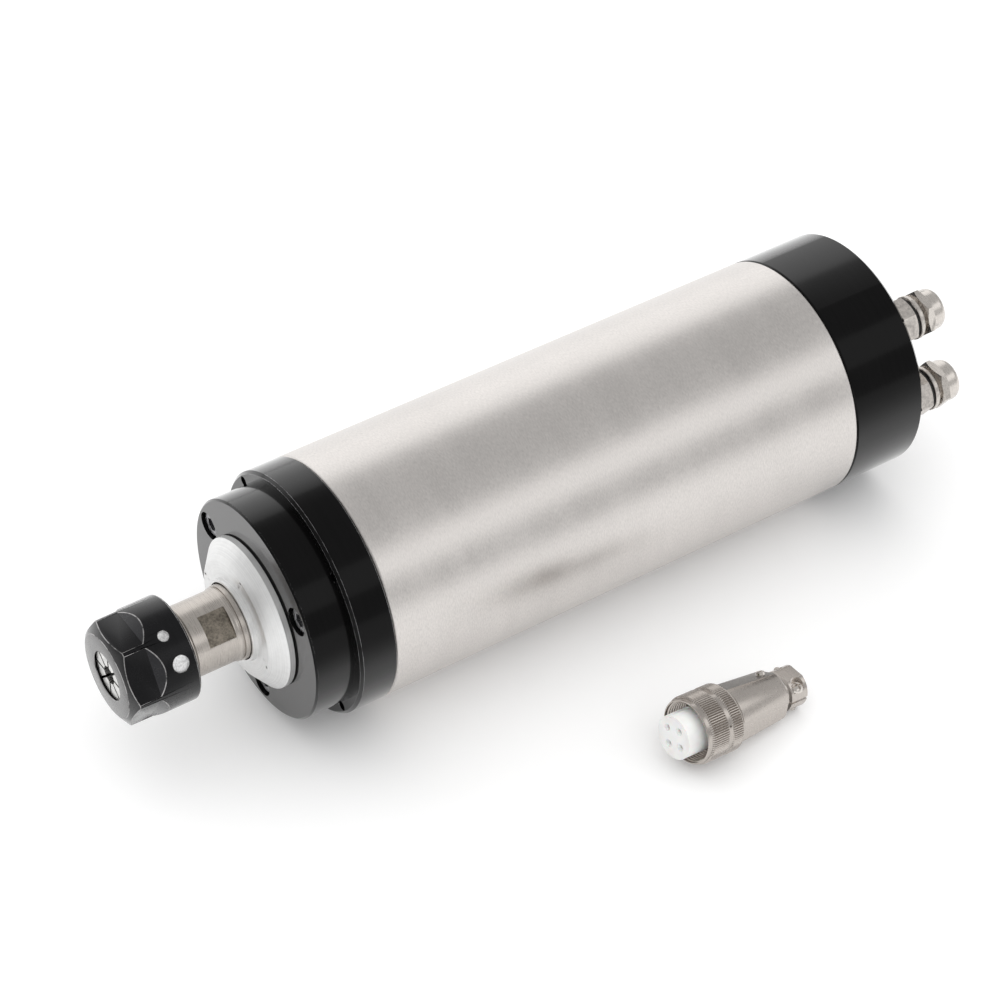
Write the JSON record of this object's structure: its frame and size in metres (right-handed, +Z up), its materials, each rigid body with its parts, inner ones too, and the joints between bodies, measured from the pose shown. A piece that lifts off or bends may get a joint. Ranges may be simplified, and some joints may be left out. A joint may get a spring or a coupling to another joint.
{
  "type": "water-cooled motor spindle",
  "caption": "Round-bodied water-cooled motor spindle with a collet chuck, rear hose fittings, a power socket and its loose cable plug.",
  "frame": {"origin": "on the spin axis, where the nose flange meets the front face of the body's front ring", "axes": "+X along the spin axis from the nose to the rear face, +Z up, the body lying on the surface at z = -40 mm"},
  "size_m": [0.2945, 0.1436, 0.08],
  "materials": {
    "brushed_stainless": "fine turned and brushed grain",
    "black_anodised": "satin black anodised",
    "bright_aluminium": "fine turned, bright",
    "ground_steel": "ground",
    "black_steel": "blackened, satin",
    "collet_steel": "ground bright",
    "nickel_plate": "nickel plated, warm",
    "bearing_steel": "polished",
    "zinc_steel": "zinc plated",
    "seal_rubber": "matte",
    "lamination_steel": "stacked sheet",
    "winding_copper": "varnished wire",
    "white_plastic": "moulded",
    "contact_brass": "polished",
    "cage_resin": "fabric laminate",
    "lead_insulation": "matte"
  },
  "bodies": {
    "housing": {"housing_tube": "brushed_stainless", "front_ring": "black_anodised", "front_ring_screws": "black_steel", "nose_flange": "black_anodised", "nose_flange_screws": "zinc_steel", "bearing_retainer": "ground_steel", "front_outer_races": "bearing_steel", "front_outer_spacer": "ground_steel", "tube_seals": "seal_rubber", "water_jacket": "bright_aluminium", "stator_core": "lamination_steel", "stator_windings": "winding_copper", "rear_bearing_housing": "bright_aluminium", "rear_outer_races": "bearing_steel", "rear_circlip": "black_steel", "preload_washer": "ground_steel", "rear_cap": "black_anodised", "rear_cap_screws": "black_steel", "power_socket_shell": "nickel_plate", "power_socket_nut": "nickel_plate", "power_socket_insulator": "white_plastic", "power_socket_pins": "contact_brass", "power_leads": "lead_insulation", "plug_insulator": "white_plastic", "plug_contacts": "contact_brass", "plug_shell": "nickel_plate", "plug_lock_screw": "nickel_plate", "plug_cable_clamp": "nickel_plate", "plug_clamp_screws": "nickel_plate", "water_inlet_body": "nickel_plate", "water_inlet_seal": "seal_rubber", "water_outlet_body": "nickel_plate", "water_outlet_seal": "seal_rubber"},
    "rotor": {"spindle_shaft": "ground_steel", "dust_cap": "bright_aluminium", "front_inner_races": "bearing_steel", "front_inner_spacer": "ground_steel", "rear_inner_races": "bearing_steel", "rotor_core": "lamination_steel", "rotor_end_rings": "bright_aluminium", "shaft_lock_nut": "black_steel"},
    "collet_body": {"collet": "collet_steel"},
    "nut_body": {"collet_nut": "black_steel"},
    "front_ball_set": {"front_bearing_balls": "bearing_steel", "front_bearing_cages": "cage_resin"},
    "rear_ball_set": {"rear_bearing_balls": "bearing_steel", "rear_bearing_cages": "cage_resin"},
    "plug_ring": {"plug_coupling_ring": "nickel_plate"},
    "inlet_ferrule_body": {"water_inlet_ferrule": "contact_brass"},
    "inlet_nut_body": {"water_inlet_nut": "nickel_plate"},
    "outlet_ferrule_body": {"water_outlet_ferrule": "contact_brass"},
    "outlet_nut_body": {"water_outlet_nut": "nickel_plate"}
  },
  "joints": [
    {"name": "shaft_spin", "type": "hinge", "parent": "housing", "child": "rotor", "pos_m": [0, 0, 0], "axis": [-1, 0, 0], "continuous": true},
    {"name": "front_cage_spin", "type": "hinge", "parent": "housing", "child": "front_ball_set", "pos_m": [0, 0, 0], "axis": [-1, 0, 0], "continuous": true},
    {"name": "rear_cage_spin", "type": "hinge", "parent": "housing", "child": "rear_ball_set", "pos_m": [0, 0, 0], "axis": [-1, 0, 0], "continuous": true},
    {"name": "collet_release", "type": "slide", "parent": "rotor", "child": "collet_body", "axis": [-1, 0, 0], "range_m": [0, 0.009]},
    {"name": "nut_turn", "type": "hinge", "parent": "collet_body", "child": "nut_body", "pos_m": [0, 0, 0], "axis": [-1, 0, 0], "range_deg": [0, 2160]},
    {"name": "plug_ring_turn", "type": "hinge", "parent": "housing", "child": "plug_ring", "pos_m": [0.08172, -0.0928, -0.02691], "axis": [0.9835, 0.0791, -0.1629], "continuous": true},
    {"name": "inlet_ferrule_slide", "type": "slide", "parent": "housing", "child": "inlet_ferrule_body", "axis": [1, 0, 0], "range_m": [0, 0.003]},
    {"name": "inlet_nut_turn", "type": "hinge", "parent": "inlet_ferrule_body", "child": "inlet_nut_body", "pos_m": [0.213, -0.02091, 0.02356], "axis": [1, 0, 0], "range_deg": [0, 1080]},
    {"name": "outlet_ferrule_slide", "type": "slide", "parent": "housing", "child": "outlet_ferrule_body", "axis": [1, 0, 0], "range_m": [0, 0.003]},
    {"name": "outlet_nut_turn", "type": "hinge", "parent": "outlet_ferrule_body", "child": "outlet_nut_body", "pos_m": [0.213, -0.03148, 0.0011], "axis": [1, 0, 0], "range_deg": [0, 1080]}
  ],
  "couplings": [
    {"joint": "front_cage_spin", "follows": "shaft_spin", "ratio": 0.4195},
    {"joint": "rear_cage_spin", "follows": "shaft_spin", "ratio": 0.4137},
    {"joint": "nut_turn", "follows": "collet_release", "rad_per_m": 4188.8},
    {"joint": "inlet_nut_turn", "follows": "inlet_ferrule_slide", "rad_per_m": 6283.2},
    {"joint": "outlet_nut_turn", "follows": "outlet_ferrule_slide", "rad_per_m": 6283.2}
  ]
}
